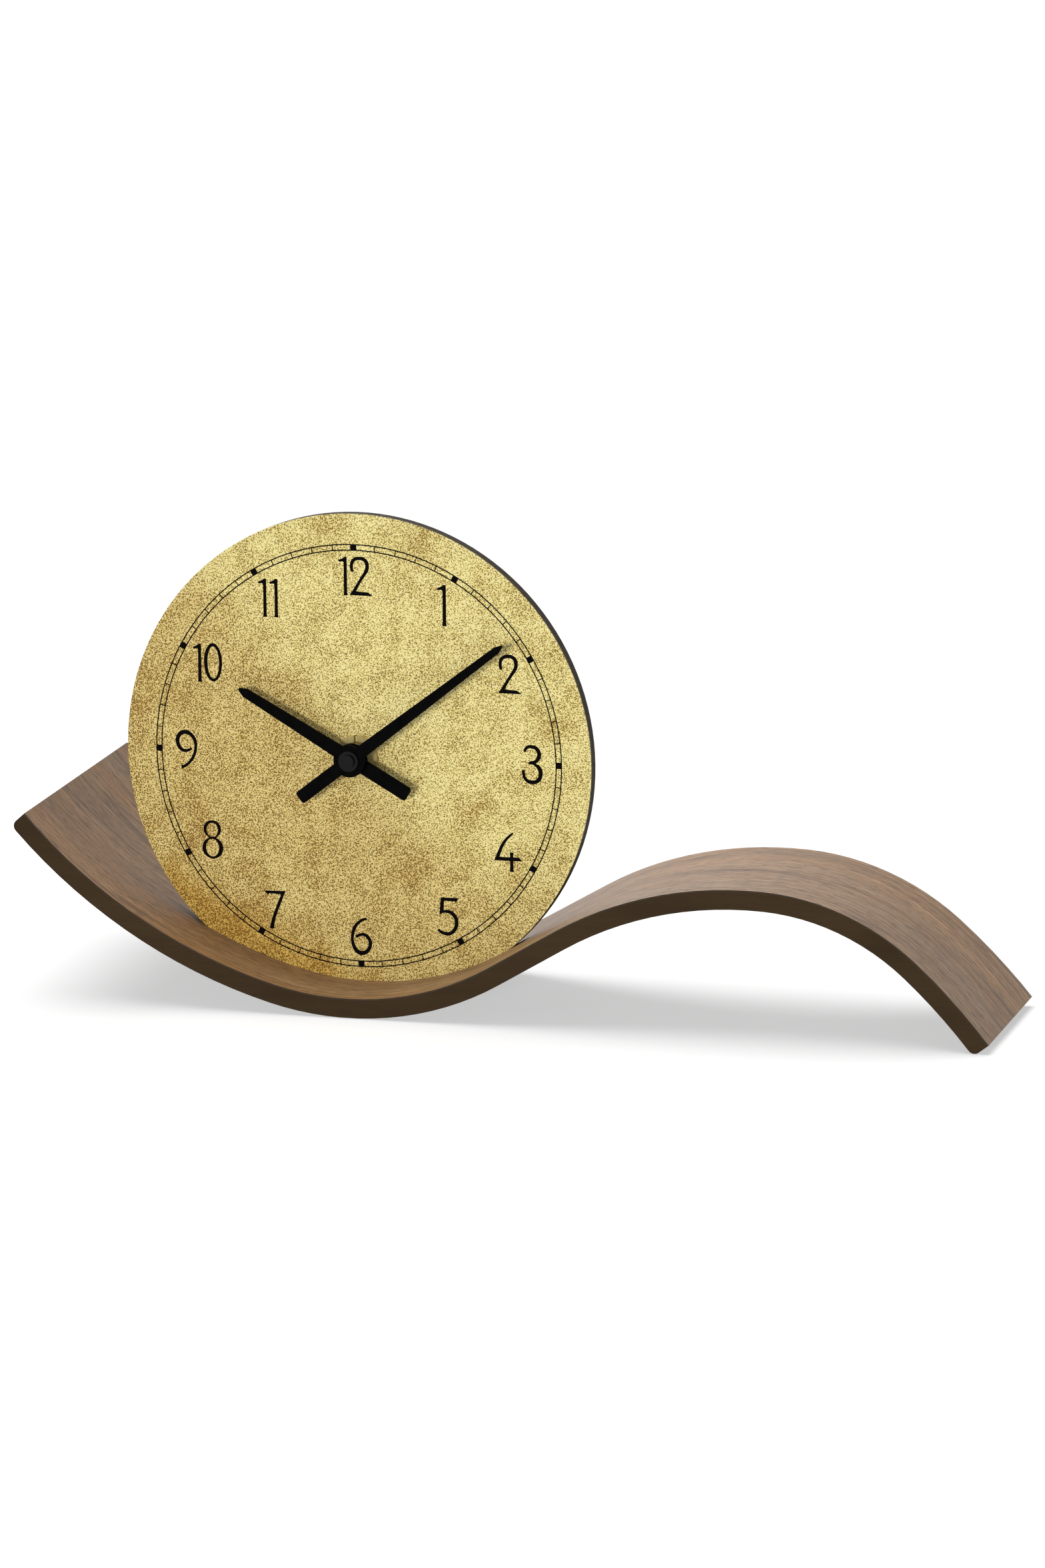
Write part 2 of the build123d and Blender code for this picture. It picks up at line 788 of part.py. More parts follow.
def make_lid():
    """Flat cover over the gear chamber."""
    lid = slab(lid_outline(), lid_front, case_wall)
    for place in post_places():
        lid -= disc(place, screw_radius, lid_front - overrun, case_back + overrun)
        lid -= disc(place, screw_head_radius, case_back - screw_head_height, case_back + overrun)
    lid -= disc(setting_axis, setting_shaft_radius + running_clearance,
                lid_front - overrun, case_back + overrun)
    for place, radius in spindle_bearings() + [(centre, centre_pivot_radius)]:
        lid -= disc(place, radius + running_clearance, lid_front - overrun,
                    lid_front + bearing_depth)
    return lid


def make_lid_screws():
    """Three screws of the lid, their heads flush."""
    screws = []
    head_front = case_back - screw_head_height
    for place in post_places():
        shank = disc(place, screw_radius, lid_screw_point, head_front)
        screws.append(shank + disc(place, screw_head_radius, head_front, case_back))
    return Compound(screws)


def make_board():
    """Circuit board beside the motion work."""
    return block(board_left, board_low, board_left + board_width, board_top,
                 board_front, board_back)


def make_chip():
    """Drop of black resin over the clock chip."""
    place = (board_left + board_width / 2, chip_level)
    drop = disc(place, chip_radius, board_back, board_back + chip_height)
    rim = drop.edges().sort_by(Axis.Y)[-1]
    return fillet(rim, chip_height / 2)


def make_crystal():
    """Metal can of the quartz crystal, lying on the board."""
    across = board_left + board_width / 2
    plane = Plane(origin=(across, board_back + crystal_radius, crystal_low), x_dir=(1, 0, 0),
                  z_dir=(0, 0, 1))
    return extrude(plane * Circle(crystal_radius), crystal_length)


def battery_bar(left, right, radius):
    """Round bar along the battery's axis."""
    plane = Plane(origin=(left, battery_middle, battery_level), x_dir=(0, 1, 0), z_dir=(1, 0, 0))
    return extrude(plane * Circle(radius), right - left)


def make_battery():
    """Size AA cell, its raised end to the left."""
    can = battery_bar(battery_left, battery_right, battery_radius)
    return can + battery_bar(battery_left - battery_nub_length, battery_left,
                             battery_nub_radius)


def board_tab(left):
    """Tab of a contact that lies on the back of the board."""
    return block(left, partition_top, left + contact_tab_length,
                 partition_top + contact_tab_length, board_back, board_back + contact_thickness)


def make_plus_contact():
    """Strip with a raised button for the battery's nub and a tab on the board."""
    low = battery_level - contact_width / 2
    strip = wall_strip(-1, low, partition_top + contact_thickness)
    strip += battery_bar(-half_inside, battery_left - battery_nub_length, battery_nub_radius)
    return strip + board_tab(-half_inside)


def make_minus_contact():
    """Strip with a bowed leaf for the battery's flat end and a long lead to the board."""
    half = contact_width / 2
    low = battery_level - half
    high = low + contact_width
    root = half_inside - contact_thickness
    strip = wall_strip(1, low, partition_top + contact_thickness)
    outer = ThreePointArc((root, low), (battery_right, battery_level), (root, high))
    inner = ThreePointArc((root, low + contact_thickness),
                          (battery_right + contact_thickness, battery_level),
                          (root, high - contact_thickness))
    bow = make_face([outer, Line(outer @ 0, outer @ 1)])
    bow -= make_face([inner, Line(inner @ 0, inner @ 1)])
    strip += slab(bow, strip_front, contact_width)
    tab_left = board_left + board_width - contact_tab_length
    strip += block(tab_left, partition_top, half_inside, partition_top + contact_thickness,
                   board_back, board_back + half)
    return strip + board_tab(tab_left)


def make_minute_hand():
    """Long hand on the minute tube."""
    return make_hand(minute_hand_reach, minute_hand_tail, minute_hand_width, minute_tip_width,
                     minute_hand_stand, minute_tube_radius, minute_hand_angle)


def make_hour_hand():
    """Short hand on the hour pipe."""
    return make_hand(hour_hand_reach, hour_hand_tail, hour_hand_width, hour_tip_width,
                     hour_hand_stand, hour_pipe_radius, hour_hand_angle)


band_nodes = {
    "band_core": make_band_core,
    "walnut_veneer": make_veneer,
}
dial_nodes = {
    "dial_plate": make_dial_plate,
    "dial_backing": make_backing,
    "round_nut": make_nut,
    "rubber_washer": make_washer,
    "minute_hand": make_minute_hand,
    "hour_hand": make_hour_hand,
    "hand_cap": make_cap,
    "minute_arbor": make_minute_arbor,
    "hour_wheel": make_hour_wheel,
    "minute_work_wheel": make_work_wheel,
    "setting_shaft": make_setting_shaft,
    "setting_knob": make_setting_knob,
    "centre_wheel": make_centre_wheel,
    "third_wheel": make_third_wheel,
    "seconds_wheel": make_seconds_wheel,
    "reduction_wheel": make_fifth_wheel,
    "rotor_spindle": make_rotor_spindle,
    "rotor_magnet": make_rotor_magnet,
    "stator_plate": make_stator,
    "coil_core": make_coil_core,
    "coil_core_screws": make_core_screws,
    "coil_bobbin": make_bobbin,
    "coil_winding": make_winding,
    "circuit_board": make_board,
    "clock_chip": make_chip,
    "quartz_crystal": make_crystal,
    "movement_case": make_case,
    "movement_lid": make_lid,
    "lid_screws": make_lid_screws,
    "battery": make_battery,
    "battery_plus_contact": make_plus_contact,
    "battery_minus_contact": make_minus_contact,
}


def main():
    """Build every piece, centre the model on its footprint and write one file a piece."""
    os.makedirs("parts", exist_ok=True)
    pieces = {name: make() for name, make in band_nodes.items()}
    for name, make in dial_nodes.items():
        pieces[name] = lean_back(make())
    middle = Compound(list(pieces.values())).bounding_box().center()
    print("dial centre", -middle.X, -middle.Y, dial_height)
    for name, piece in pieces.items():
        export_step(Pos(-middle.X, -middle.Y, 0) * piece, "parts/" + name + ".step")


main()
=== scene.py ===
"""Looks of a desk clock: a gold dial in a wave-shaped band of walnut veneer.

Metres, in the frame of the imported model: X to the right as seen from the front, Y away
from the viewer, Z up. Places on the dial are (across, up) from its middle, and a depth
is counted backward from its front face, as in the model. The patterns of a surface are
given in millimetres, and its colours as linear red, green and blue.
"""

import json
import math

import bpy
from mathutils import Matrix, Vector
from mathutils.geometry import delaunay_2d_cdt


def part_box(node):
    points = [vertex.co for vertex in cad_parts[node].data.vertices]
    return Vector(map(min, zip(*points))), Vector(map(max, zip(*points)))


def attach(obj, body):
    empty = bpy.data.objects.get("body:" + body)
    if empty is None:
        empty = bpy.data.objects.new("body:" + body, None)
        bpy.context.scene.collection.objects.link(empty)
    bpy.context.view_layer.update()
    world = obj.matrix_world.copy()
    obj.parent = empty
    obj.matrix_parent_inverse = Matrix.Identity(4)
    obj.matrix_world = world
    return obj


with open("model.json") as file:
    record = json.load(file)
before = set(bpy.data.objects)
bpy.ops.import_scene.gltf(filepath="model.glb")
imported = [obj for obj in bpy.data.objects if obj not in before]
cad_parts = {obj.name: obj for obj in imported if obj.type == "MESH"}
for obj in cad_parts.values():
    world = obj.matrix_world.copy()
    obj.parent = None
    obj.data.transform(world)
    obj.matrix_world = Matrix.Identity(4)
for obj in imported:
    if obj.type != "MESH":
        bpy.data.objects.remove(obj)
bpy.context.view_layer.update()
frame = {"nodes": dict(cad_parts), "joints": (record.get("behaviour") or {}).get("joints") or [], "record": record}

MM = 0.001

# The dial group's own directions, from the axis that its hands turn on
hand_joint = next(joint for joint in frame["joints"] if joint["name"] == "minute_spin")
backward = Vector(hand_joint["axis"]).normalized()
across = Vector((1, 0, 0))
upward = across.cross(backward)
dial_tilt = math.atan2(backward.z, backward.y)

# The middle of the dial plate's front face
plate_low, plate_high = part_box("dial_plate")
plate_thickness = 1.0 * MM
dial_centre = (plate_low + plate_high) / 2 - backward * plate_thickness / 2

# Print on the dial
print_thickness = 0.05 * MM
ring_radius = 86.2 * MM
ring_gap = 2.3 * MM
ring_line = 0.48 * MM
minute_mark_width = 0.42 * MM
hour_block_width = 2.6 * MM
hour_block_height = 2.5 * MM
ring_segments = 360
minutes = 60
hours = 12

# The ten signs, in millimetres from each sign's middle. A stroke is a soft line through
# places (x, y, width), a block is an outline, and an oval is (middle, half sizes) of its
# outside and of its opening.
signs = {
    "0": {
        "ovals": [
            ((-0.03, -0.04), (3.94, 7.96), (0.05, -0.13), (2.53, 6.64)),
        ],
    },
    "1": {
        "blocks": [
            [(1.6, 7.92), (1.78, 7.61), (1.73, -6.61), (1.86, -7.78), (1.81, -7.96),
             (0.2, -7.96), (0.15, -7.78), (0.33, -6.61), (0.4, 5.33), (0.2, 5.85), (-0.4, 5.95),
             (-1.18, 5.69), (-1.57, 5.85), (-1.83, 6.24), (-1.72, 6.52), (-0.53, 7.01),
             (0.38, 7.53), (0.9, 7.85)],
        ],
    },
    "2": {
        "strokes": [
            [(-3.41, 1.74, 0.89), (-3.74, 2.74, 1.22), (-3.86, 3.99, 1.36), (-3.63, 5.38, 1.39),
             (-2.94, 6.49, 1.39), (-1.74, 7.16, 1.39), (-0.58, 7.27, 1.39), (0.89, 7.19, 1.44),
             (2.09, 6.44, 1.5), (2.78, 5.24, 1.56), (2.89, 3.94, 1.56), (2.62, 2.61, 1.56),
             (1.95, 1.3, 1.44), (0.98, -0.09, 1.28), (-0.27, -1.92, 1.22), (-1.52, -3.92, 1.28),
             (-2.63, -5.87, 1.44), (-3.41, -7.26, 1.56)],
        ],
        "blocks": [
            [(-4.8, -7.89), (-4.58, -7.39), (-3.74, -6.2), (-1.88, -6.2), (-0.36, -6.37),
             (2.98, -6.56), (4.84, -7.67), (4.73, -8.03), (-0.36, -7.95)],
        ],
    },
    "3": {
        "strokes": [
            [(-3.15, 5.11, 1), (-2.84, 6.06, 1.17), (-2.23, 6.86, 1.28), (-1.26, 7.31, 1.33),
             (-0.23, 7.36, 1.33), (0.96, 7.17, 1.44), (2.1, 6.44, 1.56), (2.82, 5.36, 1.67),
             (3.04, 3.97, 1.67), (2.71, 2.72, 1.61), (1.93, 1.75, 1.39), (0.82, 1.06, 1),
             (-0.29, 0.78, 0.72)],
            [(0.27, 0.56, 0.72), (1.52, -0.14, 1.17), (2.63, -0.97, 1.56), (3.32, -2.14, 1.72),
             (3.54, -3.53, 1.78), (3.32, -5.06, 1.72), (2.54, -6.31, 1.67), (1.38, -7.06, 1.61),
             (-0.01, -7.28, 1.67), (-1.54, -7.06, 1.5), (-2.65, -6.31, 1.33),
             (-3.34, -5.33, 1.22), (-3.65, -4.22, 1.22), (-3.79, -3.11, 1.28),
             (-3.82, -2.36, 1.28)],
        ],
        "blocks": [
            [(-1.62, 0.89), (-0.84, 1.33), (0.82, 1.67), (2.21, 1.06), (1.66, 0.56), (2.21, 0),
             (0.54, 0), (-1.12, 0.11), (-1.62, 0.44)],
        ],
    },
    "4": {
        "strokes": [
            [(2.22, 7.86, 0.72), (1.06, 6.81, 0.94), (-0.33, 5.56, 1.11), (-1.53, 4.03, 1.22),
             (-2.56, 2.36, 1.33), (-3.39, 0.56, 1.39), (-4.08, -1.11, 1.5), (-4.58, -2.5, 1.61),
             (-4.78, -3.19, 1.67)],
        ],
        "blocks": [
            [(-5.83, -3.69), (-5.47, -2.22), (-3.81, -2.19), (3.56, -2.22), (4.44, -1.94),
             (5.89, -3.39), (5.72, -3.67)],
            [(0.78, -0.14), (2.36, -0.14), (2.22, -1.67), (2.22, -6.67), (2.39, -8.19),
             (0.64, -8.19), (0.83, -6.67), (0.86, -1.67)],
        ],
    },
    "5": {
        "strokes": [
            [(-3.22, 1.16, 0.56), (-2.02, 1.99, 0.94), (-0.36, 2.16, 1.33), (1.17, 1.77, 1.44),
             (2.48, 0.79, 1.56), (3.34, -0.59, 1.56), (3.67, -2.12, 1.61), (3.48, -3.79, 1.61),
             (2.84, -5.18, 1.56), (1.67, -6.51, 1.5), (0.2, -7.12, 1.44), (-1.47, -7.07, 1.39),
             (-2.86, -6.59, 1.28), (-3.83, -5.98, 1.11), (-4.33, -5.59, 1)],
        ],
        "blocks": [
            [(-2.99, 7.88), (4.84, 7.88), (3.59, 6.07), (2.98, 6.43), (-1.58, 6.52),
             (-1.83, 2.46), (-2.58, 1.49), (-3.49, 0.71), (-3.69, 0.93)],
        ],
    },
    "6": {
        "strokes": [
            [(2.49, 7.34, 1), (1.49, 7.23, 1.06), (0.38, 6.76, 1.11), (-0.87, 5.89, 1.17),
             (-2.12, 4.64, 1.28), (-3.03, 3.12, 1.39), (-3.56, 1.59, 1.33), (-3.89, -0.22, 1.28),
             (-3.92, -1.74, 1.28), (-3.64, -3.41, 1.44), (-3.03, -4.88, 1.56),
             (-2.06, -6.19, 1.72), (-0.81, -6.88, 1.83), (0.52, -7.02, 1.78),
             (1.97, -6.47, 1.67), (3.02, -5.36, 1.56), (3.69, -3.97, 1.5), (3.83, -2.49, 1.5),
             (3.44, -1.13, 1.5), (2.61, -0.08, 1.44), (1.49, 0.62, 1.33), (0.24, 0.78, 1.22),
             (-1.09, 0.34, 1.17), (-1.92, -0.16, 1.11), (-2.37, -0.52, 1)],
        ],
    },
    "7": {
        "blocks": [
            [(-4.72, 7.86), (4.73, 8.03), (4.76, 7.83), (4.03, 6.28), (3.2, 6.56), (-2.36, 6.78),
             (-2.69, 6.22), (-3.02, 6.17)],
            [(2.87, 7.39), (4.76, 7.89), (3.98, 6.14), (3.2, 4.19), (2.37, 2.11), (1.26, -0.44),
             (0.28, -3.03), (-0.27, -5.39), (-0.63, -7.94), (-2.41, -7.92), (-2.08, -6.22),
             (-1.38, -3.72), (-0.55, -1.22), (0.56, 1.28), (1.53, 3.78), (2.51, 5.72)],
        ],
    },
    "8": {
        "blocks": [
            [(-1.98, 1.18), (1.91, 1.18), (1.36, 0.34), (-1.42, 0.34)],
        ],
        "ovals": [
            ((-0.08, 4.36), (3.85, 3.68), (-0.1, 4), (2.51, 3.01)),
            ((-0.03, -3.52), (4.58, 4.47), (-0.13, -3.39), (2.82, 3.68)),
        ],
    },
    "9": {
        "strokes": [
            [(2.3, 0.59, 0.94), (1.3, -0.05, 1.06), (-0.37, -0.55, 1.28), (-1.76, -0.24, 1.39),
             (-2.95, 0.7, 1.5), (-3.67, 2.09, 1.56), (-3.87, 3.62, 1.61), (-3.59, 5.14, 1.67),
             (-2.78, 6.37, 1.72), (-1.62, 7.09, 1.78), (-0.23, 7.26, 1.72), (1.3, 6.81, 1.61),
             (2.55, 5.84, 1.5), (3.52, 4.45, 1.44), (4.02, 2.64, 1.33), (3.97, 0.7, 1.28),
             (3.55, -1.24, 1.28), (2.86, -2.91, 1.28), (1.86, -4.44, 1.22), (0.61, -5.8, 1.17),
             (-0.64, -6.69, 1.17), (-1.62, -7.24, 1.22), (-2.42, -7.24, 1.61)],
        ],
    },
}

# Signs of each hour, with the place of each sign's middle in millimetres and its scale
numerals = {
    "1": [("1", (37.4, 63.8), 1.07)],
    "2": [("2", (65.8, 36.7), 1.0)],
    "3": [("3", (74.9, 0.0), 1.0)],
    "4": [("4", (64.0, -36.5), 1.0)],
    "5": [("5", (37.8, -64.6), 1.0)],
    "6": [("6", (0.2, -74.7), 1.0)],
    "7": [("7", (-37.2, -65.5), 1.0)],
    "8": [("8", (-63.8, -37.4), 1.0)],
    "9": [("9", (-74.3, -0.2), 1.0)],
    "10": [("1", (-68.7, 36.2), 1.0), ("0", (-61.8, 36.6), 1.0)],
    "11": [("1", (-39.7, 64.2), 1.0), ("1", (-34.8, 64.2), 1.0)],
    "12": [("1", (-4.7, 74.4), 1.0), ("2", (2.9, 74.5), 1.0)],
}

# Steps of a soft stroke from one of its places to the next, and sides of an oval
stroke_steps = 8
oval_segments = 48

# Blender's triangulation keeps only what lies inside an outline, and takes two points that
# are nearer than this for one
keep_inside = 1
same_point = 1e-8

# Directions and spans of the dial's painted sheen and of its burnt rim, counted from its middle
sheen_direction = (0.743, 0.669)
sheen_span = (10.0, 55.0)
burnt_direction = (-0.469, -0.883)
burnt_span = (79.0, 98.0)

# Size of a cell with one dot in it, and how far the dots are pushed out of their rows, for
# the fine dots and for the large ones
fine_cell = 0.62
fine_push = (0.6, 0.6, 0.6)
large_cell = 1.15
large_push = (0.4, 0.4, 0.4)

# Share of its cell that a fine dot reaches, what patches, the painted sheen and rust add to
# that, and the large dots' share of it all
dot_reach = 0.40
reach_in_patch = 0.08
reach_in_sheen = -0.045
reach_in_rust = 0.07
large_share = 0.66

# Rusty patches of the dial's print: across, up and radius
rust_patches = [
    (84, 18, 17), (24, 91, 16), (-71, -33, 24), (-12, 93, 12), (-90, 22, 16),
    (52, -20, 12), (20, -44, 15), (-30, 24, 14), (68, -50, 28), (-54, -64, 24),
]

# Shares of a rusty patch's radius: how far the haze moves its rim, where it is fully rusty,
# and where it ends
rust_raggedness = 0.9
rust_full = -0.45
rust_end = 0.55

# The veneer's patterns: length with the grain and width across it, then the detail and
# the roughness of the noise
grain_patterns = {
    "figure": (260, 14, 2.0, 0.5),
    "growth": (420, 17, 1.0, 0.4),
    "streaks": (140, 1.3, 3.0, 0.6),
    "warmth": (170, 9, 3.0, 0.6),
    "fibres": (20, 0.38, 3.0, 0.65),
    "pores": (5, 0.27, 2.0, 0.5),
}

# How far the grain sways across the band, and the sizes that it sways in
sway_reach = 9
sway_size = (110, 45, 110)

# Span that holds nearly all of a noise's values, and the whole span of a wave
noise_span = (0.3, 0.7)
wave_span = (-1.0, 1.0)

# How much a finish's roughness varies to each side, and by what a rolled metal's dull
# patches raise it
plain_spread = 0.06
moulded_spread = 0.08
dull_share = 0.12

# Length of one wave: rings of the turned nut, turns of wire, threads of the board's cloth
lathe_pitch = 0.35
wire_pitch = 0.22
cloth_pitch = 0.5

# Size of the soft variation of a plain finish, and of its fine relief
plain_size = 4
plain_relief_size = plain_size / 12

# Camera that sees the object as the photograph does
camera_place = Vector((0.9303, -2.7611, 0.8544))
camera_right = Vector((0.9497, 0.3109, -0.0383))
camera_up = Vector((-0.0443, 0.2541, 0.9662))
camera_back = Vector((0.3101, -0.9159, 0.2550))
camera_lens = 169.5
camera_sensor = 36.0

# Light and floor
world_light = 0.22
key_direction = (0.12, 0.985, -0.10)
key_strength = 2.1
key_angle = 10
top_direction = (0.20, -0.10, -1.0)
top_strength = 2.75
top_angle = 50
back_direction = (0.35, -0.90, -0.30)
back_strength = 0.10
back_angle = 44
floor_reach = 12.0
floor_drop = 0.2 * MM
floor_glow = 0.51
floor_bounce = (0.66, 0.66, 0.66)
floor_seen = (0.50, 0.50, 0.50)
white = (1, 1, 1, 1)


def dial_point(place, depth=0.0):
    """Point of the frame at an (across, up) place of the dial and a depth behind its face."""
    return dial_centre + across * place[0] + upward * place[1] + backward * depth


def turned(place, angle):
    """A place turned clockwise about the dial's middle, in degrees."""
    turn = math.radians(angle)
    x, y = place
    return (x * math.cos(turn) + y * math.sin(turn), y * math.cos(turn) - x * math.sin(turn))


class NodeTree:
    """A tree of shader nodes, put together node by node."""

    def __init__(self, tree):
        self.tree = tree

    def node(self, kind, **settings):
        """Add a node of a kind, with its settings."""
        node = self.tree.nodes.new("ShaderNode" + kind)
        for name, value in settings.items():
            setattr(node, name, value)
        return node

    def link(self, source, target):
        """Join an output to an input."""
        self.tree.links.new(source, target)

    def feed(self, socket, value):
        """Give a socket a number, a tuple or another node's output."""
        if isinstance(value, (int, float, tuple)):
            socket.default_value = value
        else:
            self.link(value, socket)

    def math(self, operation, first, second=0.0, third=0.0, clamp=False):
        """Result of an operation on numbers or outputs."""
        node = self.node("Math", operation=operation, use_clamp=clamp)
        for socket, value in zip(node.inputs, (first, second, third)):
            self.feed(socket, value)
        return node.outputs["Value"]

    def blend(self, *terms):
        """Sum of outputs, each times its share."""
        total = 0.0
        for output, share in terms:
            total = self.math("MULTIPLY_ADD", output, share, total)
        return total

    def length(self, first, second):
        """Length of a flat arrow from its two parts."""
        square = self.math("MULTIPLY", second, second)
        return self.math("SQRT", self.math("MULTIPLY_ADD", first, first, square))

    def wave(self, distance, pitch):
        """Sine wave along a distance, with one wave in each pitch."""
        return self.math("SINE", self.math("MULTIPLY", distance, 2 * math.pi / pitch))

    def ramp(self, value, span, ends=(0.0, 1.0), smooth=False):
        """Value carried from a span to its two ends, and held there beyond the span."""
        node = self.node("MapRange", clamp=True)
        if smooth:
            node.interpolation_type = "SMOOTHSTEP"
        names = ("From Min", "From Max", "To Min", "To Max")
        for name, number in zip(names, (*span, *ends)):
            self.feed(node.inputs[name], number)
        self.link(value, node.inputs["Value"])
        return node.outputs["Result"]

    def shown(self):
        """1 for what the camera sees, also in gloss or through glass, and 0 for bounced light."""
        rays = self.node("LightPath").outputs
        mirrored = self.math("MAXIMUM", rays["Is Camera Ray"], rays["Is Glossy Ray"])
        return self.math("MAXIMUM", mirrored, rays["Is Transmission Ray"])


class Surface(NodeTree):
    """A procedural material."""

    def __init__(self, name, **values):
        self.material = bpy.data.materials.new(name)
        self.material.use_nodes = True
        super().__init__(self.material.node_tree)
        self.shader = self.tree.nodes["Principled BSDF"]
        for socket, value in values.items():
            title = socket.replace("_", " ").title().replace("Ior", "IOR")
            self.shader.inputs[title].default_value = value

    def place(self, size, origin=(0, 0, 0), turn=(0, 0, 0)):
        """Object coordinates about an origin, turned, in units of one size or of three."""
        sizes = size if isinstance(size, tuple) else (size, size, size)
        mapping = self.node("Mapping", vector_type="TEXTURE")
        mapping.inputs["Location"].default_value = origin
        mapping.inputs["Rotation"].default_value = turn
        mapping.inputs["Scale"].default_value = [side * MM for side in sizes]
        self.link(self.node("TexCoord").outputs["Object"], mapping.inputs["Vector"])
        return mapping.outputs["Vector"]

    def dial_place(self, size):
        """Coordinates in the dial's own directions from its middle, in units of a size."""
        return self.place(size, dial_centre, (dial_tilt, 0, 0))

    def split(self, vector):
        """The three parts of a vector."""
        node = self.node("SeparateXYZ")
        self.link(vector, node.inputs["Vector"])
        return node.outputs

    def facing(self):
        """How squarely the surface faces the front or the back, from 0 to 1."""
        normal = self.node("NewGeometry").outputs["Normal"]
        return self.math("ABSOLUTE", self.split(normal)["Y"])

    def noise(self, vector, detail=2.0, roughness=0.5, distortion=0.0, output="Fac"):
        """Soft random field about one unit across."""
        noise = self.node("TexNoise")
        noise.inputs["Scale"].default_value = 1.0
        noise.inputs["Detail"].default_value = detail
        noise.inputs["Roughness"].default_value = roughness
        noise.inputs["Distortion"].default_value = distortion
        self.link(vector, noise.inputs["Vector"])
        return noise.outputs[output]

    def dots(self, vector):
        """Distance to the nearest of random points about one unit apart."""
        cells = self.node("TexVoronoi")
        cells.inputs["Scale"].default_value = 1.0
        self.link(vector, cells.inputs["Vector"])
        return cells.outputs["Distance"]

    def wander(self, vector, field, amount):
        """A vector pushed about by a random field's colour, by an amount along each axis."""
        node = self.node("VectorMath", operation="MULTIPLY_ADD")
        self.link(field, node.inputs[0])
        node.inputs[1].default_value = amount
        self.link(vector, node.inputs[2])
        return node.outputs["Vector"]

    def grain(self, length, width, detail, roughness):
        """Noise that is long with the band and narrow across it, swaying a little."""
        sway = self.noise(self.place(sway_size), output="Color")
        place = self.wander(self.place((length, width, length)), sway, (0, sway_reach / width, 0))
        return self.noise(place, detail, roughness)

    def mix(self, share, first, second):
        """Colour between two colours or outputs."""
        node = self.node("Mix", data_type="RGBA")
        self.feed(node.inputs["Factor"], share)
        for name, value in (("A", first), ("B", second)):
            socket = next(s for s in node.inputs if s.name == name and s.type == "RGBA")
            self.feed(socket, (*value, 1.0) if isinstance(value, tuple) else value)
        return next(s for s in node.outputs if s.type == "RGBA")

    def coats(self, ground, *coats):
        """A ground colour under coats, each given by its cover and its colour."""
        for cover, tone in coats:
            ground = self.mix(cover, ground, tone)
        return ground

    def colour(self, output):
        """Colour of the surface."""
        self.link(output, self.shader.inputs["Base Color"])

    def rough(self, output):
        """Roughness of the surface."""
        self.link(output, self.shader.inputs["Roughness"])

    def metal(self, output):
        """Share of the surface that is bare metal."""
        self.link(output, self.shader.inputs["Metallic"])

    def bump(self, height, depth, strength):
        """Fine relief of a real depth."""
        node = self.node("Bump")
        node.inputs["Strength"].default_value = strength
        node.inputs["Distance"].default_value = depth * MM
        self.link(height, node.inputs["Height"])
        self.link(node.outputs["Normal"], self.shader.inputs["Normal"])


def veneer_surface():
    """Walnut veneer, its grain along the band, under thin satin lacquer."""
    deep, pale = (0.290, 0.174, 0.091), (0.402, 0.264, 0.149)
    red, grey = (0.470, 0.245, 0.100), (0.230, 0.165, 0.110)
    rear, front = (0.470, 0.240, 0.090), (0.290, 0.205, 0.145)
    streak, growth_line = (0.115, 0.060, 0.029), (0.065, 0.042, 0.028)
    fibre, pore = (0.130, 0.066, 0.030), (0.026, 0.014, 0.008)
    edge_stain = (0.030, 0.018, 0.009)

    wood = Surface("walnut", specular_ior_level=0.28)
    grain = {name: wood.grain(*values) for name, values in grain_patterns.items()}
    growth = wood.math("ABSOLUTE", wood.math("SUBTRACT", grain["growth"], 0.5))

    # The right half of the band is warmer at its rear and greyer at its front
    x, y, _ = wood.split(wood.place(1))
    right = wood.ramp(x, (10.0, 90.0), smooth=True)
    rear_cover = wood.math("MULTIPLY", right, wood.ramp(y, (2.0, 34.0), (0.0, 0.32)))
    front_cover = wood.math("MULTIPLY", right, wood.ramp(y, (-12.0, -28.0), (0.0, 0.38)))

    wood.colour(wood.coats(
        wood.mix(wood.ramp(grain["figure"], (0.36, 0.64), smooth=True), deep, pale),
        (wood.ramp(grain["warmth"], (0.42, 0.62), (0.0, 0.5)), red),
        (wood.ramp(grain["warmth"], (0.44, 0.30), (0.0, 0.5)), grey),
        (rear_cover, rear),
        (front_cover, front),
        (wood.ramp(grain["streaks"], (0.44, 0.66), (0.0, 0.36)), streak),
        (wood.ramp(growth, (0.0, 0.014), (0.65, 0.0)), growth_line),
        (wood.ramp(grain["fibres"], (0.38, 0.62), (0.0, 0.66)), fibre),
        (wood.ramp(grain["pores"], (0.52, 0.64), (0.0, 0.78)), pore),
        (wood.ramp(wood.facing(), (0.5, 0.8)), edge_stain),
    ))
    wood.rough(wood.ramp(grain["fibres"], noise_span, (0.36, 0.50)))
    wood.bump(wood.ramp(grain["pores"], (0.55, 0.75), (1.0, 0.0)), depth=0.03, strength=0.6)
    return wood.material


def edge_surface():
    """Stained moulded wood of the band's edges and underside."""
    deep, pale, fibre = (0.031, 0.0185, 0.0083), (0.045, 0.0280, 0.0130), (0.022, 0.015, 0.009)
    wood = Surface("stained_edge", specular_ior_level=0.08)
    cloud = wood.noise(wood.place((60, 20, 12)), detail=3.0)
    fibres = wood.noise(wood.place((9, 9, 0.35)), detail=3.0, roughness=0.6)
    wood.colour(wood.coats(
        wood.mix(wood.ramp(cloud, noise_span), deep, pale),
        (wood.ramp(fibres, (0.5, 0.75), (0.0, 0.6)), fibre),
    ))
    wood.rough(wood.ramp(cloud, noise_span, (0.42, 0.58)))
    wood.bump(fibres, depth=0.03, strength=0.5)
    return wood.material


